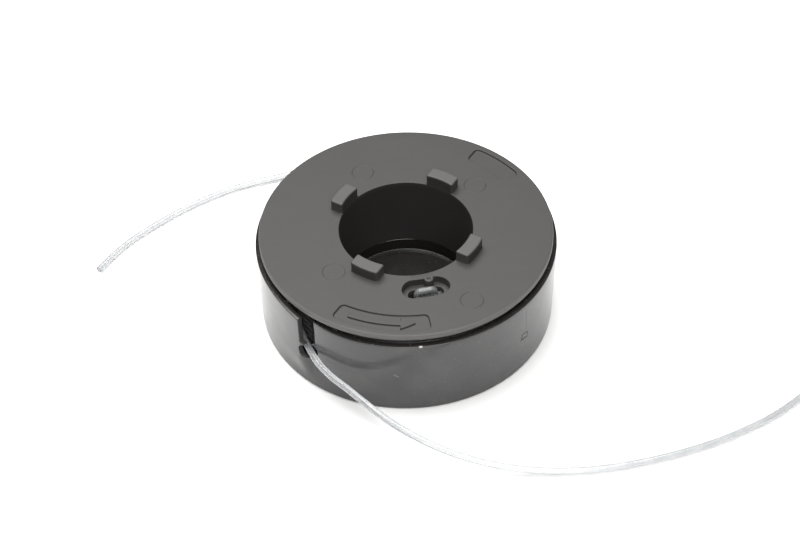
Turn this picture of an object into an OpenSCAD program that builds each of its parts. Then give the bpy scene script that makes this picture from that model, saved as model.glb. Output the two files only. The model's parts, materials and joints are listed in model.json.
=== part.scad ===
// Twin-line reel cassette: a cup-shaped casing with two line slots, a flanged reel that turns
// inside it, and one length of nylon line, looped over the reel's flange at its middle.
// The origin is the centre of the casing's underside, and +Z is the axis that the reel turns on.

/* [Casing] */
// Outside radius of the wall at the rim, away from the slots
casing_r = 35.4; // [29:0.1:44]
// Height of the rim above the underside
casing_h = 21.3; // [17.5:0.1:27]
// How much smaller the outside radius is at the underside
casing_draft = 0.3; // [0:0.1:0.8]
// Thickness of the wall
wall_t = 1.3; // [1:0.05:1.6]
// Thickness of the floor
floor_t = 1.6; // [1.2:0.1:2.4]
// Chamfer round the underside
base_chamfer = 0.5; // [0.2:0.1:0.9]
// Height of the spigot that centres the reel, above the floor
spigot_h = 3.4; // [2:0.1:6]
// Thickness of the spigot's wall
spigot_t = 1.4; // [1:0.1:1.6]

/* [Line slots] */
// Direction of the first slot from +X, in degrees; the second is opposite
slot_angle = 229; // [180:1:270]
// Width of each slot above its neck
slot_w = 3.2; // [3:0.1:4]
// Width of the neck that the line is pressed through
neck_w = 1.3; // [1:0.1:1.5]
// Radius of the round hole under the neck
keyhole_r = 2.2; // [2:0.1:2.6]
// Height of that hole's centre
keyhole_z = 11.0; // [9:0.1:13]
// How far the wall before a slot stands outside the rim's circle
lip_out = 0.8; // [0.6:0.1:1]
// How far the wall after a slot stands inside the rim's circle
lip_in = 1.0; // [0.8:0.1:1.2]
// Angle over which each of them grows
lip_span = 22; // [14:1:30]

/* [Reel] */
// How far the upper flange's edge stands inside the casing's outside
flange_inset = 0.9; // [0.6:0.1:1.5]
// Thickness of the upper flange at its edge
flange_t = 1.6; // [1.2:0.1:2]
// Thickness of the upper flange round the hub
flange_hub_t = 3.0; // [2.6:0.1:3.6]
// Gap between the casing's rim and the upper flange
rim_gap = 1.2; // [0.8:0.1:2]
// Radius of the bore
bore_r = 15.7; // [13.1:0.1:18.8]
// Thickness of the hub's wall
hub_t = 2.9; // [2.4:0.1:3.4]
// Thickness of the lower flange
lower_flange_t = 1.5; // [1.2:0.1:2]
// Radial clearance of the lower flange in the casing
flange_clearance = 1.1; // [0.8:0.1:1.6]
// Running clearance of the reel on the spigot
spigot_clearance = 0.08; // [0.05:0.01:0.1]
// Running clearance between the reel and the floor
floor_clearance = 0.1; // [0.05:0.05:0.3]
// Chamfer on the upper flange's top edge
flange_chamfer = 0.4; // [0.2:0.1:0.6]

/* [Drive dogs] */
// Direction of the first dog, in degrees
dog_angle = 58; // [30:1:70]
// Width of each dog
dog_w = 7.1; // [5:0.1:8]
// Radial thickness of each dog
dog_t = 3.2; // [2.4:0.1:4]
// Height of each dog above the flange
dog_h = 2.9; // [2:0.1:4]

/* [Line pocket] */
// Direction of the pocket's middle, in degrees
pocket_angle = -78; // [-90:1:-70]
// Angle between the two line holes, seen from the axis
pocket_hole_angle = 14.9; // [14:0.1:18]
// Width of the pocket
pocket_w = 5.7; // [5:0.1:6.2]
// Depth of the pocket
pocket_d = 2.0; // [1.6:0.1:2.2]
// Radius of each line hole
line_hole_r = 1.5; // [1.3:0.05:1.6]
// Radius of the peg that stands in the pocket
peg_r = 1.1; // [0.8:0.1:1.3]

/* [Marks on the flange] */
// Depth of the two sunk panels
panel_d = 0.5; // [0.3:0.1:0.8]
// Radial width of the panels
panel_w = 4.6; // [3:0.1:5]
// Distance of the panels from the flange's edge
panel_inset = 1.7; // [1.2:0.1:3]
// Height of the winding arrow above its panel's floor
arrow_h = 0.3; // [0.2:0.1:0.5]
// Radius of the round moulding marks
mark_r = 2.7; // [2:0.1:3.2]

/* [Line] */
// Diameter of the line
line_d = 1.6; // [1.2:0.1:1.6]
// How far a full winding stays inside the lower flange's edge
winding_inset = 2.5; // [1.5:0.1:5]

/* [Hidden] */
$fn = 160;

casing_base_r = casing_r - casing_draft;
floor_r = casing_base_r - (wall_t + base_chamfer) / 2;
// Straight height of the neck over the keyhole, and height over which it widens to the slot
neck_h = 0.2;
neck_taper = 0.8;
neck_z = keyhole_z + sqrt(pow(keyhole_r, 2) - pow(neck_w / 2, 2)) + neck_h;
// The lips meet just inside the slot's width, so that its sides cut through them cleanly
slot_margin = 0.25;
slot_half = asin((slot_w / 2 - slot_margin) / casing_r);
// The lips are whole down to just under the keyhole, and fade out above the underside
lip_foot = 0.4;
lip_full_z = keyhole_z - keyhole_r - lip_foot;
lip_none_z = 2;
lip_steps = 5;
rim_chamfer = 0.2;
columns = 64;

reel_z = floor_t + floor_clearance;
channel_z = reel_z + lower_flange_t;
flange_top = casing_h + rim_gap + flange_t;
flange_under = flange_top - flange_hub_t;
flange_r = casing_r - flange_inset;
hub_r = bore_r + hub_t;
lower_flange_r = casing_r - lip_in - wall_t - flange_clearance;
winding_r = lower_flange_r - winding_inset;
// The flange is thick round the hub, and its underside slopes up from there to the edge
flange_hub_w = 6.4;
cone_r = hub_r + flange_hub_w;
lower_chamfer = 0.2;
dog_root = 0.5;

// The spigot stands outside the bore's radius, in a counterbore, so the bore is clear to the floor
bore_ledge = 0.2;
spigot_in_r = bore_r + bore_ledge;
spigot_r = spigot_in_r + spigot_t;
counterbore_r = spigot_r + spigot_clearance;
spigot_gap = 0.3;
counterbore_z = floor_t + spigot_h + spigot_gap;
spigot_lead = 0.4;

// The line holes come out just outside the hub
hole_gap = 0.05;
pocket_r = hub_r + line_hole_r + hole_gap;
peg_angle = 4.3;
peg_gap = 0.1;
panel_r = flange_r - panel_inset - panel_w;
// Each sunk panel: where it starts and how far round it goes, in degrees
panels = [[-121.5, 40.5], [33, 24]];
// The arrow's bar and head: width of each, length of the head, and its distance from the panel's ends
arrow_r = panel_r + panel_w / 2;
arrow_w = 0.8;
arrow_head = 2.8;
arrow_end = 6;
// Round moulding marks: radius and direction, three round the hub and one near the flange's edge
marks = [[hub_r + 3.5, 117], [hub_r + 3.4, 40], [hub_r + 3.2, -140], [flange_r - 6.5, -59]];
mark_w = 0.25;
mark_d = 0.1;
// Overlap of solids that are joined, and overshoot of cuts
eps = 0.01;
over = 1;

// Route of the line from the winding out to where it has left the slot, as radius, direction
// past the slot and height. It leaves the winding along its tangent.
slot_route = [[30.55, -28, 11.6], [30.75, -21, 11.6], [31.4, -13.5, 11.6], [32.6, -7.5, 11.6],
              [34.65, 0, 11.6]];
// The rest of each route, down onto the surface that the casing stands on
front_route = [[-20.6, -30.2, 11.0], [-17.6, -33.5, 10.0], [-14, -36.4, 9.0],
               [-9.6, -40.1, 7.7], [-5, -43.8, 6.5], [0, -46.9, 5.3], [6, -49.9, 4.1],
               [13, -52.4, 3.0], [21, -54.2, 2.1], [30, -55, 1.4], [40, -54.6, 1.0],
               [50, -53, 0.85], [60, -50.4, 0.85], [70, -46.8, 0.85], [80, -41.8, 0.85],
               [87, -37, 0.85], [93, -32, 0.85]];
rear_route = [[20.6, 30.2, 11.0], [17.2, 34, 10.0], [12.2, 38.2, 8.6], [6, 42, 7.1],
              [-1, 45, 5.5], [-9, 46.9, 4.0], [-17, 47.3, 2.8], [-24.5, 46.4, 1.9],
              [-31.2, 44.6, 1.3], [-40.3, 42.1, 0.9], [-47.7, 38.8, 0.85],
              [-56.4, 33.2, 0.85], [-64.8, 26.2, 0.85], [-71.3, 19.3, 0.85],
              [-76.3, 11.7, 0.85]];
line_sides = 8;
// The loop lies on the bridge between the holes, with a gap, and bends down with radius loop_bend
// round a centre straight under each edge of the bridge
loop_gap = 0.05;
loop_bend = line_d / 2 + 0.1;
bridge_half = pocket_r * sin(pocket_hole_angle / 2) - line_hole_r;
loop_reach = bridge_half + loop_bend;
loop_z = flange_top - pocket_d + loop_gap + line_d / 2 - loop_bend;
loop_steps = 6;

function unit(v) = v / norm(v);
function ease(x) = pow(max(0, min(1, x)), 2);
function smooth(x) = let (u = max(0, min(1, x))) u * u * (3 - 2 * u);

// How far the wall stands off the rim's circle, at t degrees past a slot's middle (0 to 180)
function lip(t) =
    t < slot_half ? (lip_out - lip_in) / 2 - t / slot_half * (lip_out + lip_in) / 2 :
    t > 180 - slot_half ? (lip_out - lip_in) / 2
                          + (180 - t) / slot_half * (lip_out + lip_in) / 2 :
    -lip_in * ease(1 - (t - slot_half) / lip_span)
    + lip_out * ease(1 - (180 - slot_half - t) / lip_span);

// Outside radius of the wall: the lips fade out below the keyholes, so the underside is round
function wall_r(t, z) =
    casing_r - casing_draft * (1 - z / casing_h)
    + lip(t) * smooth((z - lip_none_z) / (lip_full_z - lip_none_z));

// Angles past a slot's middle, with one at each side of the slot
half_turn = concat([0], [for (i = [0:columns]) slot_half + (180 - 2 * slot_half) * i / columns]);
// Heights of the wall's rings
lip_levels = [for (i = [0:lip_steps]) lip_none_z + (lip_full_z - lip_none_z) * i / lip_steps];
// Rings of the wall's section, outside going up and then inside coming down: height and inset
section = concat(
    [[0, base_chamfer], [base_chamfer, 0]],
    [for (z = lip_levels) [z, 0]],
    [[casing_h - rim_chamfer, 0], [casing_h, rim_chamfer], [casing_h, wall_t]],
    [for (i = [lip_steps:-1:0]) [lip_levels[i], wall_t]],
    [[0, wall_t]]);

function wall_ring(s) = [
    for (side = [0, 180], t = half_turn)
        let (r = wall_r(t, s[0]) - s[1], a = slot_angle + side + t)
            [r * cos(a), r * sin(a), s[0]]];

// A closed grid of rings: the last ring joins the first, as a torus does
function torus_faces(rings, n) = [
    for (j = [0:rings - 1], i = [0:n - 1])
        let (a = j * n + i, b = j * n + (i + 1) % n,
             c = ((j + 1) % rings) * n + (i + 1) % n, d = ((j + 1) % rings) * n + i)
            each [[a, d, c], [a, c, b]]];

module casing_wall() {
    rings = [for (s = section) wall_ring(s)];
    polyhedron([for (r = rings) each r], torus_faces(len(rings), len(rings[0])), convexity = 10);
}

// Outline of one slot, its neck and its keyhole, seen from outside
module slot_outline() {
    polygon([[-slot_w / 2, casing_h + over], [slot_w / 2, casing_h + over],
             [slot_w / 2, neck_z + neck_taper], [neck_w / 2, neck_z],
             [neck_w / 2, keyhole_z], [-neck_w / 2, keyhole_z],
             [-neck_w / 2, neck_z], [-slot_w / 2, neck_z + neck_taper]]);
    translate([0, keyhole_z]) circle(keyhole_r);
}

module slot_cut(side) {
    rotate([0, 0, slot_angle + side]) translate([lower_flange_r, 0, 0])
        rotate([90, 0, 90]) linear_extrude(casing_r + lip_out + over - lower_flange_r) slot_outline();
}

module casing() {
    color("#1d1c1c") {
        difference() {
            casing_wall();
            for (side = [0, 180]) slot_cut(side);
        }
        cylinder(h = floor_t, r = floor_r);
        rotate_extrude() translate([spigot_in_r, floor_t - eps])
            polygon([[0, 0], [spigot_t, 0], [spigot_t, spigot_h - spigot_lead],
                     [spigot_t - spigot_lead, spigot_h], [0, spigot_h]]);
    }
}

// Half section of the reel
module reel_section() {
    polygon([[bore_r, counterbore_z], [counterbore_r, counterbore_z], [counterbore_r, reel_z],
             [lower_flange_r, reel_z], [lower_flange_r, channel_z],
             [hub_r, channel_z], [hub_r, flange_under], [cone_r, flange_under],
             [flange_r - lower_chamfer, flange_top - flange_t],
             [flange_r, flange_top - flange_t + lower_chamfer],
             [flange_r, flange_top - flange_chamfer], [flange_r - flange_chamfer, flange_top],
             [bore_r, flange_top]]);
}

module dog() {
    translate([0, 0, flange_top - dog_root]) intersection() {
        difference() {
            cylinder(h = dog_h + dog_root, r = bore_r + dog_t);
            translate([0, 0, -over]) cylinder(h = dog_h + dog_root + 2 * over, r = bore_r);
        }
        translate([0, -dog_w / 2, -over])
            cube([bore_r + dog_t + over, dog_w, dog_h + dog_root + 2 * over]);
    }
}

// Curved pocket with round ends, one at each line hole
module pocket_cut() {
    translate([0, 0, flange_top - pocket_d]) {
        rotate([0, 0, pocket_angle - pocket_hole_angle / 2])
            rotate_extrude(angle = pocket_hole_angle)
                translate([pocket_r - pocket_w / 2, 0]) square([pocket_w, pocket_d + over]);
        for (s = [-1, 1]) rotate([0, 0, pocket_angle + s * pocket_hole_angle / 2])
            translate([pocket_r, 0, 0]) {
                cylinder(h = pocket_d + over, r = pocket_w / 2, $fn = 64);
                translate([0, 0, -flange_hub_t]) cylinder(h = 2 * flange_hub_t, r = line_hole_r,
                                                          $fn = 48);
            }
    }
}

module peg() {
    rotate([0, 0, pocket_angle + peg_angle])
        translate([pocket_r - pocket_w / 2 + peg_gap, 0, flange_top - pocket_d - eps])
            cylinder(h = pocket_d + eps, r = peg_r, $fn = 48);
}

module panel_cut(p) {
    rotate([0, 0, p[0]]) rotate_extrude(angle = p[1])
        translate([panel_r, flange_top - panel_d]) square([panel_w, panel_d + over]);
}

// Raised arrow in the first panel, pointing the way that the line comes off the reel
module winding_arrow() {
    start = panels[0][0] + arrow_end;
    sweep = panels[0][1] - 2 * arrow_end - arrow_head / arrow_r * 180 / PI;
    translate([0, 0, flange_top - panel_d - eps]) {
        rotate([0, 0, start]) rotate_extrude(angle = sweep)
            translate([arrow_r - arrow_w / 2, 0]) square([arrow_w, arrow_h + eps]);
        rotate([0, 0, start + sweep]) translate([arrow_r, 0, 0]) linear_extrude(arrow_h + eps)
            polygon([[-arrow_head / 2, -eps], [arrow_head / 2, -eps], [0, arrow_head]]);
    }
}

module moulding_mark(m) {
    rotate([0, 0, m[1]]) translate([m[0], 0, flange_top - mark_d]) difference() {
        cylinder(h = mark_d + over, r = mark_r, $fn = 64);
        translate([0, 0, -over]) cylinder(h = mark_d + 3 * over, r = mark_r - mark_w, $fn = 64);
    }
}

module reel() {
    color("#5b5957") {
        difference() {
            rotate_extrude() reel_section();
            pocket_cut();
            for (p = panels) panel_cut(p);
            for (m = marks) moulding_mark(m);
        }
        for (i = [0:3]) rotate([0, 0, dog_angle + 90 * i]) dog();
        peg();
        winding_arrow();
    }
}

module line_winding() {
    color("#cfd4d6") rotate_extrude()
        translate([hub_r, channel_z]) square([winding_r - hub_r, flange_under - channel_z]);
}

// A tube along points, closed flat at both ends: ref is a direction never along the route
module tube(points, radius, ref) {
    n = len(points);
    function along(i) = unit(points[min(i + 1, n - 1)] - points[max(i - 1, 0)]);
    function ring(i) = let (b = unit(cross(along(i), ref)), c = cross(b, along(i)))
        [for (k = [0:line_sides - 1]) let (a = 360 * (k + 0.5) / line_sides)
            points[i] + radius * (cos(a) * b + sin(a) * c)];
    sides = [for (i = [0:n - 2], k = [0:line_sides - 1])
        let (a = i * line_sides + k, b = i * line_sides + (k + 1) % line_sides)
            each [[a, b, b + line_sides], [a, b + line_sides, a + line_sides]]];
    polyhedron([for (i = [0:n - 1]) each ring(i)],
               concat(sides, [[for (k = [line_sides - 1:-1:0]) k]],
                      [[for (k = [0:line_sides - 1]) (n - 1) * line_sides + k]]));
}

// Catmull-Rom curve through the points, with one more point halfway along each stretch
function midway(p, i) =
    let (n = len(p), a = p[max(i - 1, 0)], b = p[i], c = p[i + 1], d = p[min(i + 2, n - 1)])
        (9 * (b + c) - a - d) / 16;
function curve(p) = [for (i = [0:2 * len(p) - 2]) i % 2 == 0 ? p[i / 2] : midway(p, (i - 1) / 2)];

function from_slot(side) = [for (q = slot_route)
    let (a = slot_angle + side + q[1]) [q[0] * cos(a), q[0] * sin(a), q[2]]];

module line_end(side, route) {
    color("#e4ebee") tube(curve(concat(from_slot(side), route)), line_d / 2, [0, 0, 1]);
}

module line_end_front() { line_end(0, front_route); }

module line_end_rear() { line_end(180, rear_route); }

// The middle of the line: up through one hole, over the pocket's floor and down the other
module line_loop() {
    bends = [for (s = [-1, 1]) for (i = [0:loop_steps])
        let (a = 90 * (s + 1) / 2 + 90 * i / loop_steps)
        [0, s * bridge_half - loop_bend * cos(a), loop_z + loop_bend * sin(a)]];
    path = concat([[0, -loop_reach, flange_under]], bends, [[0, loop_reach, flange_under]]);
    color("#e4ebee") rotate([0, 0, pocket_angle])
        translate([pocket_r * cos(pocket_hole_angle / 2), 0, 0]) tube(path, line_d / 2, [1, 0, 0]);
}

casing();
reel();
line_winding();
line_loop();
line_end_front();
line_end_rear();
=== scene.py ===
# %% [markdown]
# # The looks of a twin-line trimmer reel cassette
# A cup-shaped casing of glossy black plastic holds a satin grey reel, and one clear nylon line is
# wound on the reel and leaves the casing through two keyhole slots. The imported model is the
# frame: it says where everything is and how it moves. This lesson puts detailed surfaces on it.

# %% Load the fixed frame
import json
import math

import bmesh
import bpy
import numpy as np
from mathutils import Matrix, Vector


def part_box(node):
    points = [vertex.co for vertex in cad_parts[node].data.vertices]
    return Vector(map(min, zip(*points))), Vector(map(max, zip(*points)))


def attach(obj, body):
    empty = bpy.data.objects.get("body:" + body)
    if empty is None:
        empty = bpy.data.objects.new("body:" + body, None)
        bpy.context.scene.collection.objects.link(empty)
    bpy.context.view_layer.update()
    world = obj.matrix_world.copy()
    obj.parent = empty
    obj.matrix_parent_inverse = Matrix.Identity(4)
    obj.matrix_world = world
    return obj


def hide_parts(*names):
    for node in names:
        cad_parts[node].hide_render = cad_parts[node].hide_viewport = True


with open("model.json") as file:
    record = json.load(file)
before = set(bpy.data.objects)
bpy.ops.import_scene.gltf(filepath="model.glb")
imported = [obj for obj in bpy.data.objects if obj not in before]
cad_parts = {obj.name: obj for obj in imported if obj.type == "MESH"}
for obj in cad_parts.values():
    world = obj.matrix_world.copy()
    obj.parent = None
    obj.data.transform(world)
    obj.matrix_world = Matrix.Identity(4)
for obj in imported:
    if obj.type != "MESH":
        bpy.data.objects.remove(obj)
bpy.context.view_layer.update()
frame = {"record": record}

MM = 0.001

# %% [markdown]
# Sizes come from the frame wherever a node's box or a mount gives them. The others are the same
# design values that the model was made from, in millimetres, each under its own name.

# %% Sizes in millimetres
reel_low, reel_high = (np.array(corner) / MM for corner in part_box("reel"))
wound_low, wound_high = (np.array(corner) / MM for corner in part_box("line_winding"))
mounts = {m["name"]: m for m in frame["record"]["mounts"]}

dog_h = 2.9
flange_top = reel_high[2] - dog_h
flange_r = reel_high[0]
flange_under = wound_high[2]
channel_z = wound_low[2]
winding_r = wound_high[0]
bore_r = mounts["drive_bore"]["dims"]["r_mm"]
reel_z = reel_low[2]

casing_h = 21.3
casing_r = flange_r + 0.9
casing_draft = 0.3
wall_t = 1.3
floor_t = 1.6
slot_angle = 229
slot_w = 3.2
neck_w = 1.3
neck_taper = 0.8
keyhole_r = 2.2
keyhole_z = 11.0
neck_z = keyhole_z + math.sqrt(keyhole_r**2 - (neck_w / 2) ** 2) + 0.2
line_d = 1.6
hub_r = bore_r + 2.9
print(f"flange top {flange_top:.1f}, flange r {flange_r:.1f}, winding r {winding_r:.1f} mm")

# %% [markdown]
# The camera comes first, because the free ends of the line are judged by what it sees. It looks
# down at 45 degrees with a short telephoto lens, from far enough away to keep circles round,
# and it is rolled by a little over one degree.

# %% Camera
camera_target = Vector((-1.58, -12.97, 24.1)) * MM
camera_distance = 400.7 * MM
camera_elevation = math.radians(45)
camera_roll = math.radians(-1.31)

camera = bpy.data.objects.new("camera", bpy.data.cameras.new("camera"))
bpy.context.scene.collection.objects.link(camera)
bpy.context.scene.camera = camera
camera.data.lens = 78.8
camera.data.sensor_width = 36
camera.data.clip_start = 0.01
forward = Vector((0, math.cos(camera_elevation), -math.sin(camera_elevation)))
level_right = Vector((1, 0, 0))
level_up = level_right.cross(forward)
right = math.cos(camera_roll) * level_right + math.sin(camera_roll) * level_up
up = right.cross(forward)
camera.matrix_world = Matrix.Translation(camera_target - camera_distance * forward) @ Matrix(
    (right, up, -forward)
).transposed().to_4x4()
print("camera at", [round(x / MM) for x in camera.matrix_world.translation], "mm")

# %% [markdown]
# ## Helpers for meshes
# Every new piece is made of grids of points. A grid's rows and columns may close on themselves,
# as a tube's do. `make_piece` joins the grids of one piece, merges the points where they meet,
# turns all faces outwards and smooths everything but the sharp edges.


# %% Grids to meshes
def grid_faces(rows, columns, close_rows, close_columns):
    """Four corners for each cell between neighbouring rows and columns of a grid of points."""
    r, c = np.meshgrid(
        np.arange(rows if close_rows else rows - 1),
        np.arange(columns if close_columns else columns - 1),
        indexing="ij",
    )
    r1, c1 = (r + 1) % rows, (c + 1) % columns
    corners = [r * columns + c, r * columns + c1, r1 * columns + c1, r1 * columns + c]
    return np.stack(corners, -1).reshape(-1, 4)


def make_piece(name, grids, sharp_angle=35, caps=False):
    """A mesh object from grids in millimetres: each is (points, close_rows, close_columns).

    With caps, the first and last rows of every grid are closed with one face each."""
    points, faces, start = [], [], 0
    for grid, close_rows, close_columns in grids:
        rows, columns = grid.shape[:2]
        quads = grid_faces(rows, columns, close_rows, close_columns) + start
        points.append(grid.reshape(-1, 3))
        faces.extend(quads.tolist())
        if caps:
            ring = np.arange(columns) + start
            faces.append(ring[::-1].tolist())
            faces.append((ring + (rows - 1) * columns).tolist())
        start += rows * columns
    mesh = bpy.data.meshes.new(name)
    mesh.from_pydata((np.concatenate(points) * MM).tolist(), [], faces)
    clean = bmesh.new()
    clean.from_mesh(mesh)
    bmesh.ops.remove_doubles(clean, verts=clean.verts, dist=1e-7)
    bmesh.ops.dissolve_degenerate(clean, edges=clean.edges, dist=1e-8)
    bmesh.ops.recalc_face_normals(clean, faces=clean.faces)
    clean.to_mesh(mesh)
    clean.free()
    piece = bpy.data.objects.new(name, mesh)
    bpy.context.scene.collection.objects.link(piece)
    mesh.shade_smooth()
    mesh.set_sharp_from_angle(angle=math.radians(sharp_angle))
    print(f"{name}: {len(mesh.polygons)} faces")
    return piece


def polar(radius, degrees, z):
    """Points at a radius and a direction from +X: x = r cos a, y = r sin a."""
    radius, degrees, z = np.broadcast_arrays(radius, degrees, z)
    a = np.radians(degrees)
    return np.stack([radius * np.cos(a), radius * np.sin(a), z], -1).astype(float)


# %% [markdown]
# A tube is a circle carried along a path. A path that is given as a list has a few dozen points,
# so a smooth curve runs through them first: on each stretch it is the cubic that also has the
# slope of its neighbours, which is how a springy line bends.


# %% Paths and tubes
def smooth_path(points, spacing):
    """Catmull-Rom cubic through the points, in steps of about the given length.

    Between b and c, with neighbours a and d, the point at u is half of
    2b + (c - a)u + (2a - 5b + 4c - d)u^2 + (3b - a - 3c + d)u^3."""
    p = np.asarray(points, float)
    p = np.concatenate([[2 * p[0] - p[1]], p, [2 * p[-1] - p[-2]]])
    u = np.linspace(0, 1, 32, endpoint=False)[:, None]
    a, b, c, d = (p[i : len(p) - 3 + i, None] for i in range(4))
    cubic = 0.5 * (
        2 * b
        + (c - a) * u
        + (2 * a - 5 * b + 4 * c - d) * u**2
        + (3 * b - a - 3 * c + d) * u**3
    )
    fine = np.concatenate([cubic.reshape(-1, 3), p[-2:-1]])
    run = np.concatenate([[0], np.cumsum(np.linalg.norm(np.diff(fine, axis=0), axis=1))])
    even = np.linspace(0, run[-1], int(run[-1] / spacing) + 1)
    return np.stack([np.interp(even, run, fine[:, i]) for i in range(3)], -1)


def path_length(path):
    """Sum of the distances between neighbouring points."""
    return float(np.linalg.norm(np.diff(path, axis=0), axis=1).sum())


def tube_grid(path, radius, sides, reference=(0, 0, 1)):
    """A ring at each point: point + radius (cos k b + sin k c), where b and c are square to the
    path and b is also square to a reference direction. The radius may change along the path."""
    along = np.gradient(path, axis=0)
    along /= np.linalg.norm(along, axis=1, keepdims=True)
    b = np.cross(along, np.array(reference, float))
    b /= np.linalg.norm(b, axis=1, keepdims=True)
    c = np.cross(b, along)
    k = 2 * np.pi * (np.arange(sides) + 0.5) / sides
    ring = np.cos(k)[:, None] * b[:, None] + np.sin(k)[:, None] * c[:, None]
    return path[:, None] + np.broadcast_to(radius, len(path))[:, None, None] * ring


def cut_end(path, radius, bevel=0.12):
    """The path and its radii with a small bevel at each end, as a cut line has."""
    first, last = path[0], path[-1]
    out = (path[0] - path[1]) / np.linalg.norm(path[0] - path[1])
    on = (path[-1] - path[-2]) / np.linalg.norm(path[-1] - path[-2])
    longer = np.concatenate([[first, first - bevel * out], path[1:-1], [last - bevel * on, last]])
    radii = np.full(len(longer), radius)
    radii[[0, -1]] = radius - bevel
    return longer, radii


# %% [markdown]
# ## The free ends of the line
# Each half of the line leaves the winding along its tangent, crosses the wall through a keyhole
# and sweeps down onto the surface in one springy bow. The listed points are the same as in
# the model. The line is stiff nylon, so nothing sags and nothing is simulated.

# %% Routes of the two ends
slot_route = np.array([[30.55, -28, 11.6], [30.75, -21, 11.6], [31.4, -13.5, 11.6],
                       [32.6, -7.5, 11.6], [34.65, 0, 11.6]])
front_route = [[-20.6, -30.2, 11.0], [-17.6, -33.5, 10.0], [-14, -36.4, 9.0],
               [-9.6, -40.1, 7.7], [-5, -43.8, 6.5], [0, -46.9, 5.3], [6, -49.9, 4.1],
               [13, -52.4, 3.0], [21, -54.2, 2.1], [30, -55, 1.4], [40, -54.6, 1.0],
               [50, -53, 0.85], [60, -50.4, 0.85], [70, -46.8, 0.85], [80, -41.8, 0.85],
               [87, -37, 0.85], [93, -32, 0.85]]
rear_route = [[20.6, 30.2, 11.0], [17.2, 34, 10.0], [12.2, 38.2, 8.6], [6, 42, 7.1],
              [-1, 45, 5.5], [-9, 46.9, 4.0], [-17, 47.3, 2.8], [-24.5, 46.4, 1.9],
              [-31.2, 44.6, 1.3], [-40.3, 42.1, 0.9], [-47.7, 38.8, 0.85],
              [-56.4, 33.2, 0.85], [-64.8, 26.2, 0.85], [-71.3, 19.3, 0.85],
              [-76.3, 11.7, 0.85]]


def line_end(name, node, side, route):
    """A tube along slot_route, turned to its slot, and then along the route outside."""
    inside = polar(slot_route[:, 0], slot_angle + side + slot_route[:, 1], slot_route[:, 2])
    path = smooth_path(np.concatenate([inside, route]), 0.45)
    longer, radii = cut_end(path, line_d / 2)
    piece = make_piece(name, [(tube_grid(longer, radii, 24), False, True)], caps=True)
    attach(piece, "line_ends")
    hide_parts(node)
    slot_z = slot_route[-1, 2]
    slot_point = polar(slot_route[-1, 0], slot_angle + side, slot_z) * MM
    print(f"{name}: {path_length(path):.1f} mm long")
    return piece


front_end = line_end("free_line_front", "line_end_front", 0, front_route)
rear_end = line_end("free_line_rear", "line_end_rear", 180, rear_route)

# %% [markdown]
# ## The winding
# Both halves are wound side by side, so each is a helix with a pitch of two line widths, and one
# is the other turned by half a turn. Layers go down and up in turn, each on top of the last.


# %% Winding
layer_pitch = 1.55
strand_r = 0.985 * line_d / 2
start_angle = -85.4


def winding_path(layers=7, turns=5, steps=36):
    """Layer k has radius hub + (half a line) + k pitches; within it the height runs evenly from
    one flange to the other. Angle grows all the time; radius steps up smoothly at each end."""
    s = np.linspace(0, layers, layers * turns * steps + 1)[:-1]
    layer, share = np.floor(s), s % 1
    step_up = np.clip((share - 0.97) / 0.03, 0, 1)
    radius = hub_r + line_d / 2 + layer_pitch * np.minimum(layer + step_up, layers - 1)
    travel = turns * 2 * line_d
    middle = (channel_z + flange_under) / 2
    run = np.where(layer % 2 == 0, 1 - 2 * share, 2 * share - 1)
    return polar(radius, start_angle + 360 * turns * s, middle + run * travel / 2)


strand = winding_path()
opposite = strand * np.array([-1, -1, 1])
strands = [(tube_grid(path, strand_r, 8), False, True) for path in (strand, opposite)]
winding = make_piece("wound_line", strands, caps=True)
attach(winding, "reel")
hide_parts("line_winding")
print(f"wound length {2 * path_length(strand) / 1000:.1f} m")

# %% [markdown]
# The middle of the line comes up through one hole in a pocket's floor, lies over the bridge between
# the holes and goes down through the other. It bends round a centre under each edge of the bridge.

# %% Loop over the pocket
pocket_angle = -78
pocket_hole_angle = 14.9
line_hole_r = 1.5
pocket_r = hub_r + line_hole_r + 0.05
pocket_d = 2.0
loop_bend = line_d / 2 + 0.1
bridge_half = pocket_r * math.sin(math.radians(pocket_hole_angle / 2)) - line_hole_r
loop_z = flange_top - pocket_d + 0.05 + line_d / 2 - loop_bend

quarter = np.radians(np.linspace(0, 90, 13))
bend = np.stack([0 * quarter, -bridge_half - loop_bend * np.cos(quarter),
                 loop_z + loop_bend * np.sin(quarter)], -1)
leg = np.linspace(flange_under + 0.05, loop_z, 5)[:-1]
rise = np.stack([0 * leg, 0 * leg - bridge_half - loop_bend, leg], -1)
half = np.concatenate([rise, bend, [[0, -bridge_half / 2, bend[-1, 2]]]])
loop_path = np.concatenate([half, half[::-1] * np.array([1, -1, 1])])
loop_path[:, 0] += pocket_r * math.cos(math.radians(pocket_hole_angle / 2))
turn = math.radians(pocket_angle)
turned = np.array([[math.cos(turn), math.sin(turn), 0], [-math.sin(turn), math.cos(turn), 0],
                   [0, 0, 1]])
loop = make_piece("line_loop_over_pocket",
                  [(tube_grid(loop_path, line_d / 2, 20, (1, 0, 0)) @ turned, False, True)],
                  caps=True)
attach(loop, "reel")
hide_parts("line_loop")

# %% [markdown]
# ## The casing
# The cup is one moulding: floor, wall and spigot. At each slot the wall stands out a little on one
# side and in on the other, so the line can leave along the winding's tangent. A boolean cut would
# leave long thin faces that spoil a glossy reflection, so the grid itself follows the slot: its
# first column runs down the slot's side, round the neck and round the keyhole.


# %% The wall's shape
lip_out, lip_in, lip_span = 0.8, 1.0, 22
slot_half = math.degrees(math.asin((slot_w / 2 - 0.25) / casing_r))
lip_full_z = keyhole_z - keyhole_r - 0.4
lip_none_z = 2
edge = 0.16


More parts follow.
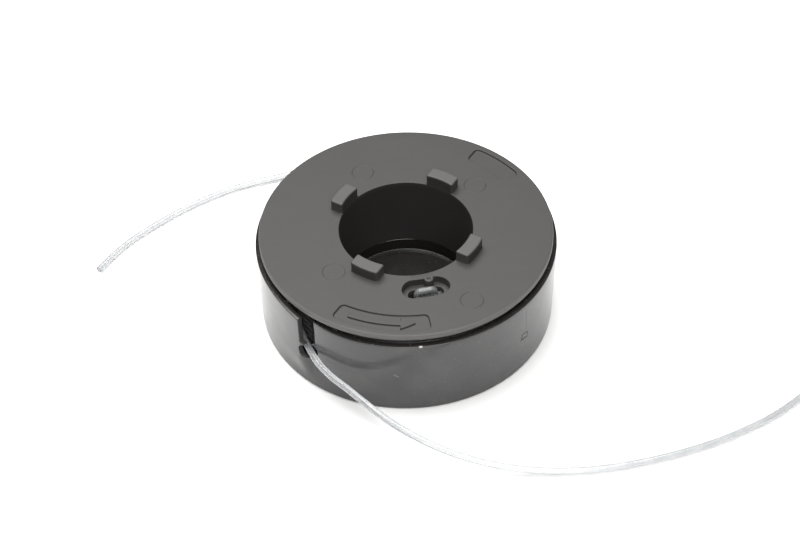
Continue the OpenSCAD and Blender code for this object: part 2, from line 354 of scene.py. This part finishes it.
def lip(t):
    """How far the wall stands off the rim's circle, t degrees past a slot (0 to 180): a square
    law on each side, which reaches -lip_in just after a slot and lip_out just before the next."""
    after = np.clip(1 - (t - slot_half) / lip_span, 0, 1) ** 2
    before = np.clip(1 - (180 - slot_half - t) / lip_span, 0, 1) ** 2
    away = -lip_in * after + lip_out * before
    middle, swing = (lip_out - lip_in) / 2, (lip_out + lip_in) / 2
    near_start = middle - t / slot_half * swing
    near_end = middle + (180 - t) / slot_half * swing
    return np.where(t < slot_half, near_start, np.where(t > 180 - slot_half, near_end, away))


def wall_radius(t, z):
    """Rim's circle, less the draft below it, plus the lips, which fade out under the keyholes."""
    u = np.clip((z - lip_none_z) / (lip_full_z - lip_none_z), 0, 1)
    return casing_r - casing_draft * (1 - z / casing_h) + lip(t) * u * u * (3 - 2 * u)


def half_width(z):
    """Half the slot's width: nothing under the keyhole, then its chord, the neck, the taper."""
    chord = np.sqrt(np.clip(keyhole_r**2 - (z - keyhole_z) ** 2, 0, None))
    widen = np.clip((z - neck_z) / neck_taper, 0, 1)
    above = neck_w / 2 + (slot_w - neck_w) / 2 * widen
    return np.maximum(chord, np.where(z > keyhole_z, above, 0))


def rounding(distance):
    """Depth of a rounded edge at a distance from it: e - sqrt(e^2 - (e - distance)^2)."""
    short = np.clip(edge - distance, 0, edge)
    return edge - np.sqrt(edge**2 - short**2)


# %% The wall's grid
near = np.array([0, 0.02, 0.05, 0.09, edge, 0.3, 0.6, 1.0])
far_columns = 112
keyhole_foot = keyhole_z - keyhole_r


def columns_at(z):
    """Directions past a slot, and distances from its sides, of the grid's columns at heights z.

    A few columns keep their distance from a slot's side; the rest share what is between."""
    start = half_width(z)[:, None]
    arc = np.pi * casing_r - 2 * start
    between = near[-1] + (arc - 2 * near[-1]) * np.linspace(0, 1, far_columns)[1:-1]
    from_side = np.concatenate([near + 0 * start, between, arc - near[::-1]], axis=1)
    t = np.degrees((start + from_side) / casing_r)
    return t, np.minimum(from_side, arc - from_side)


def wall_grid(z, side, inset=0, depth=0):
    """Points of the wall for one half turn: depth is 0 for its outside and wall_t for its inside.
    The outside edges are rounded along the slots and, through inset, along the rim."""
    z = np.asarray(z, float)
    t, from_side = columns_at(z)
    below = np.clip(keyhole_foot - z, 0, None)[:, None]
    soft = rounding(np.hypot(from_side, below))
    sunk = np.where(depth > 0, depth, np.maximum(soft, inset))
    return polar(wall_radius(t, z[:, None]) - sunk, slot_angle + side + t, z[:, None])


# %% Casing
turn_in = np.linspace(0, math.pi / 2, 5)
keyhole_turn = np.linspace(0, math.pi - math.asin(neck_w / 2 / keyhole_r), 22)
base_round = 0.55
base_turn = np.linspace(0, math.pi / 2, 9)
base_z = base_round * (1 - np.cos(base_turn))
base_inset = base_round * (1 - np.sin(base_turn))
low_z = np.concatenate([[1, lip_none_z], np.linspace(lip_none_z, keyhole_foot - edge, 9)[1:],
                        keyhole_foot - edge * np.array([0.55, 0.3, 0.12]), [keyhole_foot]])
high_z = np.concatenate([keyhole_z - keyhole_r * np.cos(keyhole_turn), [neck_z],
                         neck_z + neck_taper * np.array([0.04, 0.5, 0.96, 1]),
                         np.linspace(neck_z + neck_taper, casing_h - edge, 8)[1:]])
rim_z = casing_h - edge * (1 - np.sin(turn_in[1:]))
rim_inset = edge * (1 - np.cos(turn_in[1:]))

spigot_in_r = bore_r + 0.2
spigot_r = spigot_in_r + 1.4
spigot_top = floor_t + 3.4
floor_r = casing_r - casing_draft - wall_t
floor_rows = np.array([[floor_t + 0.3, floor_r - 0.1], [floor_t + 0.08, floor_r - 0.25],
                       [floor_t, floor_r - 0.6],
                       [floor_t, 25], [floor_t, spigot_r + 0.25], [floor_t + 0.1, spigot_r],
                       [spigot_top - 0.4, spigot_r], [spigot_top - 0.1, spigot_r - 0.3],
                       [spigot_top, spigot_r - 0.42], [spigot_top, spigot_in_r + 0.15],
                       [spigot_top - 0.1, spigot_in_r + 0.03],
                       [spigot_top - 0.3, spigot_in_r], [floor_t + 0.1, spigot_in_r],
                       [floor_t, spigot_in_r - 0.2], [floor_t, 6], [floor_t, 0]])

grids = []
for side in (0, 180):
    directions = slot_angle + side + columns_at(np.zeros(1))[0]
    underside = polar(np.array([[0], [8], [20], [30], [34]]), directions, 0)
    base = wall_grid(base_z, side, base_inset[:, None])
    outside = wall_grid(low_z, side)
    inside = wall_grid(low_z[low_z > floor_t + 0.3][::-1], side, depth=wall_t)
    floor = polar(floor_rows[:, 1:], directions, floor_rows[:, :1])
    grids.append((np.concatenate([underside, base, outside]), False, False))
    grids.append((np.concatenate([inside, floor]), False, False))
    upper_out = wall_grid(high_z, side)
    upper_in = wall_grid(high_z, side, depth=wall_t)
    rim_out = wall_grid(rim_z, side, rim_inset[:, None])
    rim_in = wall_grid(rim_z, side, depth=wall_t)
    outer = np.concatenate([upper_out, rim_out])
    inner = np.concatenate([upper_in, rim_in])
    grids.append((outer, False, False))
    grids.append((inner, False, False))
    for column in (0, -1):
        share = np.linspace(0, 1, 4)[:, None, None]
        reveal = outer[None, :, column] * (1 - share) + inner[None, :, column] * share
        grids.append((reveal, False, False))
    grids.append((np.stack([outer[-1], inner[-1]]), False, False))
casing = make_piece("casing_cup", grids)
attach(casing, "casing")
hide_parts("casing")

# %% [markdown]
# ## The reel
# The reel is turned round its axis first: one outline with rounded corners, carried round. Then
# the pocket, the sunk panels and the moulding marks are cut out with shapes whose mouths flare
# like a rounded edge, so every edge of the cut is soft without a bevel on a tangled mesh.


# %% Rounded outlines
def outline(corners, radius, inset=0, steps=6, samples=2):
    """A closed outline with each corner replaced by a circular arc, moved inwards by inset.

    Corners go round counter-clockwise. A corner moves along (n1 + n2) / (1 + n1.n2), n being the
    inward normals of its edges. The arc is the conic with weight cos(half the turn)."""
    c = np.asarray(corners, float)
    along = np.roll(c, -1, axis=0) - c
    edges = along / np.linalg.norm(along, axis=1, keepdims=True)
    normal = np.stack([-edges[:, 1], edges[:, 0]], -1)
    before, normal_before = np.roll(edges, 1, axis=0), np.roll(normal, 1, axis=0)
    dot = (normal * normal_before).sum(1, keepdims=True)
    c = c + inset * (normal + normal_before) / (1 + dot)
    convex = (before[:, 0] * edges[:, 1] - before[:, 1] * edges[:, 0])[:, None] > 0
    size = np.maximum(np.broadcast_to(radius, len(c))[:, None] - np.where(convex, inset, -inset),
                      0.01)
    reach = size * np.sqrt((1 - dot) / (1 + dot))
    a, b = c - reach * before, c + reach * edges
    weight = np.sqrt((1 + dot) / 2)[:, None]
    u = np.linspace(0, 1, steps)[None, :, None]
    bottom = (1 - u) ** 2 + 2 * u * (1 - u) * weight + u**2
    arc = ((1 - u) ** 2 * a[:, None] + 2 * u * (1 - u) * weight * c[:, None]
           + u**2 * b[:, None]) / bottom
    v = np.linspace(0, 1, samples + 1)[None, 1:-1, None]
    straight = b[:, None] * (1 - v) + np.roll(a, -1, axis=0)[:, None] * v
    return np.concatenate([arc, straight], axis=1).reshape(-1, 2)


def loft(name, corners, radius, levels, place, **kwargs):
    """Outlines at levels (height, inset), put in place by a function, joined and capped."""
    rings = [outline(corners, radius, inset, **kwargs) for _, inset in levels]
    grid = np.stack([place(ring[:, 0], ring[:, 1], z) for ring, (z, _) in zip(rings, levels)])
    return make_piece(name, [(grid, False, True)], caps=True)


def rectangle(width, height):
    """Corners of a rectangle round the origin, counter-clockwise."""
    return np.array([[-1, -1], [1, -1], [1, 1], [-1, 1]]) * [width / 2, height / 2]


def bent(radius, angle):
    """Places a flat outline on the flange: u runs round at a radius and v runs outwards."""
    return lambda u, v, z: polar(radius + v, angle + np.degrees(u / radius), z)


# %% Turned body of the reel
cone_r = hub_r + 6.4
lower_flange_r = 32.0
flange_edge_z = flange_top - 1.6
counterbore_r, counterbore_z = spigot_r + 0.08, spigot_top + 0.3
section = np.array([
    [bore_r, counterbore_z], [counterbore_r, counterbore_z], [counterbore_r, reel_z],
    [lower_flange_r, reel_z], [lower_flange_r, channel_z], [hub_r, channel_z],
    [hub_r, flange_under], [cone_r, flange_under], [flange_r, flange_edge_z],
    [flange_r, flange_top], [bore_r, flange_top],
])
corner_radii = np.array([0.1, 0.1, 0.25, 0.35, 0.25, 0.25, 0.25, 3, 0.3, 0.42, 0.16])
turned_outline = outline(section, corner_radii, steps=5)
around = np.linspace(0, 360, 289)[:-1]
body_grid = polar(turned_outline[:, :1], around[None], turned_outline[:, 1:])
reel = make_piece("reel_body", [(body_grid, True, True)])

# %% Tools that cut the reel, and blocks that are added
soft = 0.2
flare = [(flange_top - soft * (1 - math.sin(a)), -soft * (1 - math.cos(a)))
         for a in np.radians([0, 20, 40, 60, 78])]


def sunk_levels(depth, foot=0.15):
    """Levels of a cutter from its floor up: rounded foot, straight wall, flared mouth."""
    low = flange_top - depth
    rise = [(low + foot * (1 - math.cos(a)), foot * (1 - math.sin(a)))
            for a in (0, 0.5, 1.05, 1.57)]
    return rise + flare + [(flange_top + 1, flare[-1][1])]


pocket_w = 5.7
pocket_l = pocket_w + math.radians(pocket_hole_angle) * pocket_r
panel_w, panel_inset, panel_d = 4.6, 1.7, 0.5
panel_mid_r = flange_r - panel_inset - panel_w / 2
panels = [(-121.5, 40.5), (33, 24)]
marks = [(hub_r + 3.5, 117), (hub_r + 3.4, 40), (hub_r + 3.2, -140), (flange_r - 6.5, -59)]
mark_r = 2.6

cutters = [loft("cut_pocket", rectangle(pocket_l, pocket_w), pocket_w / 2 - 0.01,
                sunk_levels(pocket_d), bent(pocket_r, pocket_angle), steps=14)]
for way in (-1, 1):
    hole_angle = pocket_angle + way * pocket_hole_angle / 2
    floor_z = flange_top - pocket_d
    levels = [(flange_under - 1, 0), (floor_z - 0.2, 0), (floor_z - 0.06, -0.05),
              (floor_z - 0.02, -0.1), (floor_z + 0.2, -0.12)]
    cutters.append(loft("cut_hole", rectangle(2 * line_hole_r, 2 * line_hole_r), line_hole_r - 0.01,
                        levels, bent(pocket_r, hole_angle), steps=10))
for start, sweep in panels:
    length = math.radians(sweep) * panel_mid_r
    cutters.append(loft("cut_panel", rectangle(length, panel_w), 1.1,
                        sunk_levels(panel_d, foot=0.25), bent(panel_mid_r, start + sweep / 2),
                        steps=6, samples=40))
for radius, angle in marks:
    ring = np.linspace(0, 2 * np.pi, 73)[:-1]
    centre = polar(radius, angle, flange_top + 0.1)
    circle = np.stack([mark_r * np.cos(ring), mark_r * np.sin(ring), 0 * ring], -1) + centre
    tube = np.linspace(0, 2 * np.pi, 9)[:-1]
    outward = (circle - centre) / mark_r
    groove = (circle[:, None] + 0.18 * np.cos(tube)[None, :, None] * outward[:, None]
              + 0.18 * np.sin(tube)[None, :, None] * np.array([0, 0, 1]))
    cutters.append(make_piece("cut_mark", [(groove, True, True)]))

# %% Dogs, peg and arrow
dog_w, dog_t, dog_angle = 7.1, 3.2, 58
top_soft = 0.38
dog_levels = [(flange_top - 0.4, -0.16), (flange_top, -0.16), (flange_top + 0.06, -0.07),
              (flange_top + 0.2, 0)]
dog_levels += [(flange_top + dog_h - top_soft * (1 - math.sin(a)), top_soft * (1 - math.cos(a)))
               for a in np.radians([0, 18, 36, 54, 72, 88])]


def dog_place(angle):
    """u is square to the dog's direction and v is the way out from the bore, so a point is at
    (sqrt((bore + v)^2 - u^2), u) before it is turned: sides parallel, faces on circles."""

    def place(u, v, z):
        out = bore_r + 0.02 + np.maximum(v + dog_t / 2, 0)
        x, y = np.sqrt(out**2 - u**2), u
        return polar(np.hypot(x, y), angle + np.degrees(np.arctan2(y, x)), z)

    return place


blocks = [loft("block_dog", rectangle(dog_w, dog_t), 0.5, dog_levels,
               dog_place(dog_angle + 90 * i), samples=14) for i in range(4)]

peg_r, peg_radius, peg_angle = 1.1, pocket_r - pocket_w / 2 + 0.1, pocket_angle + 4.3
peg_profile = np.array([[0, -pocket_d - 0.5], [peg_r + 0.1, -pocket_d - 0.5],
                        [peg_r + 0.1, -pocket_d], [peg_r, -pocket_d + 0.15], [peg_r, -0.2],
                        [peg_r - 0.06, -0.07], [peg_r - 0.2, -0.01], [0.5, -0.01],
                        [0.42, -0.05], [0.3, -0.25], [0, -0.3]])
peg_around = np.linspace(0, 2 * np.pi, 33)[:-1]
peg_out, peg_up = peg_profile[:, :1], peg_profile[:, 1:]
peg_grid = np.stack([peg_out * np.cos(peg_around), peg_out * np.sin(peg_around),
                     peg_up + 0 * peg_around], -1)
blocks.append(make_piece("block_peg", [(peg_grid + polar(peg_radius, peg_angle, flange_top),
                                        False, True)]))

arrow_l, arrow_w, head_l, head_w = 15.6, 1.3, 3.6, 3.6
arrow = np.array([[-arrow_l / 2, -arrow_w / 2], [arrow_l / 2 - head_l, -arrow_w / 2],
                  [arrow_l / 2 - head_l, -head_w / 2], [arrow_l / 2, 0],
                  [arrow_l / 2 - head_l, head_w / 2], [arrow_l / 2 - head_l, arrow_w / 2],
                  [-arrow_l / 2, arrow_w / 2]])
panel_floor = flange_top - panel_d
arrow_levels = [(panel_floor - 0.3, -0.05), (panel_floor + 0.02, -0.05), (panel_floor + 0.1, 0),
                (panel_floor + 0.3, 0.02), (panel_floor + 0.4, 0.08), (panel_floor + 0.44, 0.16)]
blocks.append(loft("block_arrow", arrow, 0.18, arrow_levels,
                   bent(panel_mid_r, panels[0][0] + panels[0][1] / 2), steps=4, samples=12))


# %% Put the reel together
def combine(piece, tools, operation):
    """Cuts away or adds each tool in turn, then removes it."""
    for tool in tools:
        change = piece.modifiers.new(tool.name, "BOOLEAN")
        change.operation, change.solver, change.object = operation, "EXACT", tool
    bpy.context.view_layer.update()
    shaped = bpy.data.meshes.new_from_object(
        piece.evaluated_get(bpy.context.evaluated_depsgraph_get()))
    piece.modifiers.clear()
    piece.data = shaped
    for tool in tools:
        bpy.data.objects.remove(tool)


combine(reel, cutters, "DIFFERENCE")
combine(reel, blocks, "UNION")
tidy_mesh = bmesh.new()
tidy_mesh.from_mesh(reel.data)
bmesh.ops.remove_doubles(tidy_mesh, verts=tidy_mesh.verts, dist=2e-6)
bmesh.ops.dissolve_degenerate(tidy_mesh, edges=tidy_mesh.edges, dist=1e-7)
tidy_mesh.to_mesh(reel.data)
open_edges = sum(not e.is_manifold for e in tidy_mesh.edges)
tidy_mesh.free()
reel.data.shade_smooth()
reel.data.set_sharp_from_angle(angle=math.radians(30))
evened = reel.modifiers.new("flat faces stay flat", "WEIGHTED_NORMAL")
evened.keep_sharp = True
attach(reel, "reel")
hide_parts("reel")
print(f"reel: {len(reel.data.polygons)} faces, {open_edges} open edges")

# %% [markdown]
# ## Materials
# A small class lets shader maths be written as ordinary expressions: each operator on a socket
# adds one Math node. Any other node is added by `Shader.node`.


# %% Shader expressions
class Wire:
    """An output socket of a material; an operator on it adds a Math node."""

    def __init__(self, shader, socket):
        self.shader, self.socket = shader, socket

    def math(self, operation, *values):
        """A Math node of any kind on this socket and further values, in order."""
        inputs = dict(enumerate((self,) + values))
        return self.shader.node("ShaderNodeMath", {"operation": operation}, inputs)

    def __add__(self, other):
        return self.math("ADD", other)

    def __sub__(self, other):
        return self.math("SUBTRACT", other)

    def __rsub__(self, other):
        return (self * -1).math("ADD", other)

    def __mul__(self, other):
        return self.math("MULTIPLY", other)

    __radd__, __rmul__ = __add__, __mul__

    def ramp(self, low, high, start=0.0, end=1.0):
        """Start below low, end above high, and a smooth change between them."""
        settings = {"interpolation_type": "SMOOTHSTEP"}
        return self.shader.node("ShaderNodeMapRange", settings,
                                {0: self, 1: low, 2: high, 3: start, 4: end})


class Shader:
    """A material with one Principled shader, and the Object coordinates of its piece in mm."""

    def __init__(self, name, **constants):
        self.material = bpy.data.materials.new(name)
        self.material.use_nodes = True
        self.nodes, self.links = self.material.node_tree.nodes, self.material.node_tree.links
        self.shader = self.nodes["Principled BSDF"]
        for socket, value in constants.items():
            self.shader.inputs[socket.replace("_", " ")].default_value = value
        place = self.node("ShaderNodeTexCoord", output="Object")
        self.place = self.node("ShaderNodeVectorMath", {"operation": "SCALE"},
                               {0: place, "Scale": 1 / MM})
        self.x, self.y, self.z = (
            self.node("ShaderNodeSeparateXYZ", inputs={0: self.place}, output=i) for i in range(3))

    def node(self, kind, settings=None, inputs=None, output=0):
        """Adds a node, sets what it is told, links or sets its inputs and returns an output."""
        node = self.nodes.new(kind)
        for name, value in (settings or {}).items():
            setattr(node, name, value)
        for name, value in (inputs or {}).items():
            if isinstance(value, Wire):
                self.links.new(value.socket, node.inputs[name])
            else:
                node.inputs[name].default_value = value
        return Wire(self, node.outputs[output])

    def noise(self, scale, detail=2.0, stretch=(1, 1, 1), offset=0.0, roughness=0.5):
        """Noise from 0 to 1 with features of about 1 / scale mm, longer where stretch is small."""
        place = self.node("ShaderNodeMapping", inputs={
            "Vector": self.place, "Scale": stretch, "Location": (offset, offset, offset)})
        return self.node("ShaderNodeTexNoise", {}, {
            "Vector": place, "Scale": scale, "Detail": detail, "Roughness": roughness})

    def mix(self, mask, first, second):
        """Colour from first, where the mask is 0, to second, where it is 1."""
        return self.node("ShaderNodeMix", {"data_type": "RGBA"}, {0: mask, 6: first, 7: second},
                         output=2)

    def bump(self, height, strength, distance_mm, normal=None):
        """A Bump node: height is from 0 to 1 and stands for distance_mm."""
        inputs = {"Strength": strength, "Distance": distance_mm * MM, "Height": height}
        if normal:
            inputs["Normal"] = normal
        return self.node("ShaderNodeBump", {}, inputs)

    def feed(self, **sockets):
        """Links wires to the Principled shader's sockets."""
        for name, wire in sockets.items():
            self.links.new(wire.socket, self.shader.inputs[name.replace("_", " ")])

    def paint(self, *pieces):
        """Gives the material to pieces, in place of what they have."""
        for piece in pieces:
            piece.data.materials.clear()
            piece.data.materials.append(self.material)


# %% [markdown]
# ** Casing plastic.** Polished black polypropylene: nearly all that shows is what it reflects, so
# the detail is in the gloss. Slow ripples from the mould bend the reflections, a film of
# handling dulls them in patches, and there are a few fine scuffs. The inside of the cup and the
# rim's flat face are a little duller, and both are painted darker as painted shade: the cup is
# deep, and the rim lies in the gap under the reel's flange. Single marks are strokes on the
# unrolled wall: a weld line where two streams of plastic met, a small stamped mark under it, a
# pale painted glint on the rim's edge where it steps, a pale scuff and a step beside the base.


# %% Marks on the wall
def stroke(s, start, end, width):
    """Mask of a line on the wall, from 1 on it to 0 outside, between two (degrees, height) points.

    On the unrolled wall, with p from the start and d from start to end, the nearest point is at
    the share t = (p.d) / (d.d) kept from 0 to 1, and the mask falls with the distance |p - t d|."""
    arc = math.radians(1) * casing_r
    du, dv = (end[0] - start[0]) * arc, end[1] - start[1]
    along = s.y.math("ARCTAN2", s.x) * casing_r - start[0] * arc
    up_wall = s.z - start[1]
    square = du * du + dv * dv
    share = (along * (du / square) + up_wall * (dv / square)).math("MAXIMUM", 0).math("MINIMUM", 1)
    off_u, off_v = along - share * du, up_wall - share * dv
    distance = (off_u * off_u + off_v * off_v).math("SQRT")
    return distance.ramp(width * 0.25, width, 1, 0)


def strongest(masks):
    """The largest of several masks at each point."""
    first, *others = masks
    for mask in others:
        first = first.math("MAXIMUM", mask)
    return first


weld_line = ((-41.1, 19.3), (-40.1, 12.9), 0.5)
stamp = [((-42.7, 10.3), (-39.2, 10.0), 0.5), ((-42.7, 10.3), (-42.3, 12.0), 0.4),
         ((-42.3, 12.0), (-39.0, 11.5), 0.24), ((-39.2, 10.0), (-38.9, 11.4), 0.24)]
base_step = [((-50, 1.6), (-40, 1.7), 0.3), ((-40, 1.7), (-32, 1.15), 0.3)]
# A pale painted glint on the rim's edge, where the rim steps up a little.
painted_rim_glint = ((-86.0, 21.2), (-85.5, 21.2), 0.35)
pale_scuff = ((-95.6, 11.9), (-94.2, 11.4), 0.3)


# %% Casing plastic
def casing_plastic():
    """Polish outside and an inside painted dark as shade, then scuffs, dust, single marks and a
    painted glint on the rim, then the ripples.
    """
    s = Shader("casing plastic", Specular_IOR_Level=0.44, IOR=1.5)
    smudge = s.noise(0.16, 3).ramp(0.42, 0.68)
    scuffs = s.noise(1.1, 4, stretch=(1, 1, 7), offset=3).ramp(0.63, 0.75)
    patches = s.noise(0.09, 2, offset=11).ramp(0.4, 0.7)
    dust = s.noise(3.2, 1, offset=5).ramp(0.74, 0.8)
    radius = (s.x * s.x + s.y * s.y).math("SQRT")
    outer, edge_only = (radius.ramp(casing_r - r, casing_r - r + 0.2) for r in (1.3, 0.4))
    weld, step = stroke(s, *weld_line), strongest([stroke(s, *line) for line in base_step])
    stamped = strongest([stroke(s, *line) for line in stamp])
    rim_glint, scuffed = stroke(s, *painted_rim_glint), stroke(s, *pale_scuff)
    # Painted shade: everything inside the wall, meaning the cup's floor, spigot and inner face, is
    # painted darker than the polished outside, and darkest inside the spigot.
    inside = s.mix(radius.ramp(bore_r, bore_r + 2), (0.014, 0.0125, 0.012, 1),
                   (0.017, 0.0155, 0.0145, 1))
    polished = s.mix(patches, (0.050, 0.0485, 0.049, 1), (0.059, 0.0572, 0.0572, 1))
    # Painted shade: the rim's flat face lies in the gap under the reel's flange and takes the dark
    # inside colour.
    rim_face_painted_shade = s.z.ramp(casing_h - 0.12, casing_h - 0.03)
    tone = s.mix(outer * (1 - rim_face_painted_shade), inside, polished)
    tone = s.mix(outer * (scuffs * 0.3 + dust * 0.5), tone, (0.095, 0.092, 0.088, 1))
    tone = s.mix(outer * (stamped * 0.9 + weld * 0.3 + step * 0.3), tone, (0.008, 0.0075, 0.007, 1))
    # A painted glint on the rim's edge, and a real pale scuff on the wall.
    tone = s.mix(rim_glint * edge_only + scuffed * outer * 0.15, tone, (0.5, 0.49, 0.48, 1))
    ripple = s.noise(0.12, 1, stretch=(1, 1, 0.6))
    peel = s.noise(1.6, 2)
    marks_deep = outer * (stamped * 0.8 + weld * 0.25 + step * 0.3)
    normal = s.bump(ripple, 0.15, 0.25)
    normal = s.bump(peel, 0.12, 0.012, normal)
    normal = s.bump(1 - marks_deep, 0.8, 0.12, normal)
    s.feed(Base_Color=tone, Normal=normal,
           Roughness=outer.ramp(0, 1, 0.2, 0.14) + smudge * 0.08 + scuffs * 0.16 + dust * 0.2
           + stamped * outer * 0.3)
    return s


casing_plastic().paint(casing)

# %% [markdown]
# ** Reel plastic.** The same family of plastic from a spark-eroded mould, so its skin is satin:
# a fine grain breaks the gloss. The dogs' tops and the flange's edge are painted lighter as painted
# highlights, and the bore is painted darker as painted shade.


# %% Reel plastic
def reel_plastic():
    """Satin grey with slow clouds, painted highlights on the dogs' tops and the flange's edge,
    and painted shade down the bore.
    """
    s = Shader("reel plastic", Specular_IOR_Level=0.5, IOR=1.5)
    grain = s.noise(7, 2, roughness=0.6)
    cloud = s.noise(0.07, 3, offset=4).ramp(0.35, 0.7)
    radius = (s.x * s.x + s.y * s.y).math("SQRT")
    # Painted shade down the bore's wall, below its top edge.
    painted_bore_shade = (radius.ramp(bore_r + 0.1, bore_r + 0.5, 1, 0)
            * s.z.ramp(flange_top - 1.5, flange_top, 1, 0))
    flow = s.noise(0.5, 3, stretch=(0.35, 1, 1), offset=9).ramp(0.4, 0.75)
    dust = s.noise(2.6, 1, offset=2).ramp(0.76, 0.82)
    tone = s.mix(cloud * 0.6 + flow * 0.25, (0.032, 0.031, 0.0292, 1), (0.039, 0.0375, 0.0355, 1))
    tone = s.mix(dust * 0.4, tone, (0.09, 0.088, 0.085, 1))
    # Painted highlight: the dogs' tops are lighter.
    tone = s.mix(s.z.ramp(flange_top + dog_h - 0.5, flange_top + dog_h - 0.1), tone,
                 (0.062, 0.060, 0.0575, 1))
    # Painted reflection of the bright floor along the flange's outer edge.
    tone = s.mix(radius.ramp(flange_r - 0.35, flange_r - 0.1), tone, (0.1, 0.098, 0.094, 1))
    # Painted shade in the bore.
    tone = s.mix(painted_bore_shade, tone, (0.025, 0.0222, 0.0215, 1))
    normal = s.bump(grain, 0.35, 0.02)
    s.feed(Base_Color=tone, Roughness=0.5 + cloud * 0.06 + grain * 0.1, Normal=normal)
    return s


reel_plastic().paint(reel)

# %% [markdown]
# ** Nylon line.** Extruded nylon is clear but a little milky, and shines along its length. Light
# goes through it, so on white it shows as two soft grey edges with a bright core. Where it lies
# deep in the dark reel, over the pocket and in the winding, its colour is painted darker as
# painted shade.


# %% Nylon line
def nylon_line(name, clearness, roughness, tint_and_painted_shade):
    """Milky nylon: clearness is the share of light let through, and the last argument scales the
    tint; its low values paint shade on the line inside the reel.
    """
    s = Shader(name, IOR=1.53, Transmission_Weight=clearness, Specular_IOR_Level=0.5)
    milk = s.noise(0.35, 3).ramp(0.35, 0.7)
    draw = s.noise(1.2, 2, offset=6)
    dim, bright = ([tint_and_painted_shade * x for x in colour] + [1] for colour in
                   ((0.90, 0.925, 0.94), (1.0, 1.015, 1.02)))
    s.feed(Base_Color=s.mix(milk, dim, bright), Roughness=roughness + milk * 0.08 + draw * 0.05)
    return s


nylon_line("nylon line", 0.72, 0.15, 0.73).paint(front_end, rear_end)
# The line over the pocket and in the winding is painted darker as painted shade.
nylon_line("nylon line over the pocket, painted shade", 0.6, 0.25, 0.3).paint(loop)
nylon_line("nylon line in layers, painted shade", 0.7, 0.25, 0.42).paint(winding)

# %% [markdown]
# ## Stage
# A pale sweep and a tent of soft white light: the black casing shows the tent at its glancing
# sides, and shadows stay faint. One large soft lamp above and behind gives the dogs their shade,
# and a smaller one in front lights the wall.


# %% Floor, world and lamps
def lamp(name, place, target, size, power):
    """A square soft lamp that faces a target; place and target are in mm."""
    data = bpy.data.lights.new(name, "AREA")
    data.size, data.energy = size * MM, power
    holder = bpy.data.objects.new(name, data)
    bpy.context.scene.collection.objects.link(holder)
    holder.location = Vector(place) * MM
    aim = (Vector(target) - Vector(place)).to_track_quat("-Z", "Y")
    holder.rotation_euler = aim.to_euler()
    return holder


floor_half = 3000
floor_corners = floor_half * np.array([[[-1.0, -1, 0], [1, -1, 0]], [[-1, 1, 0], [1, 1, 0]]])
floor = make_piece("floor", [(floor_corners, False, False)])
sweep = Shader("pale sweep", Roughness=0.6, Specular_IOR_Level=0.2)
sweep.feed(Base_Color=sweep.mix(sweep.noise(0.02, 1), (0.92, 0.917, 0.91, 1),
                                (0.935, 0.932, 0.925, 1)))
sweep.paint(floor)

world = bpy.data.worlds.new("tent")
world.use_nodes = True
world.node_tree.nodes["Background"].inputs["Color"].default_value = (1, 1, 1, 1)
world.node_tree.nodes["Background"].inputs["Strength"].default_value = 0.15
bpy.context.scene.world = world
bpy.context.scene.view_settings.view_transform = "Standard"
lamp("top_lamp", (-80, 115, 600), (0, 0, 0), 560, 7.3)
lamp("front_lamp", (80, -380, 460), (0, 0, 0), 300, 2.0)
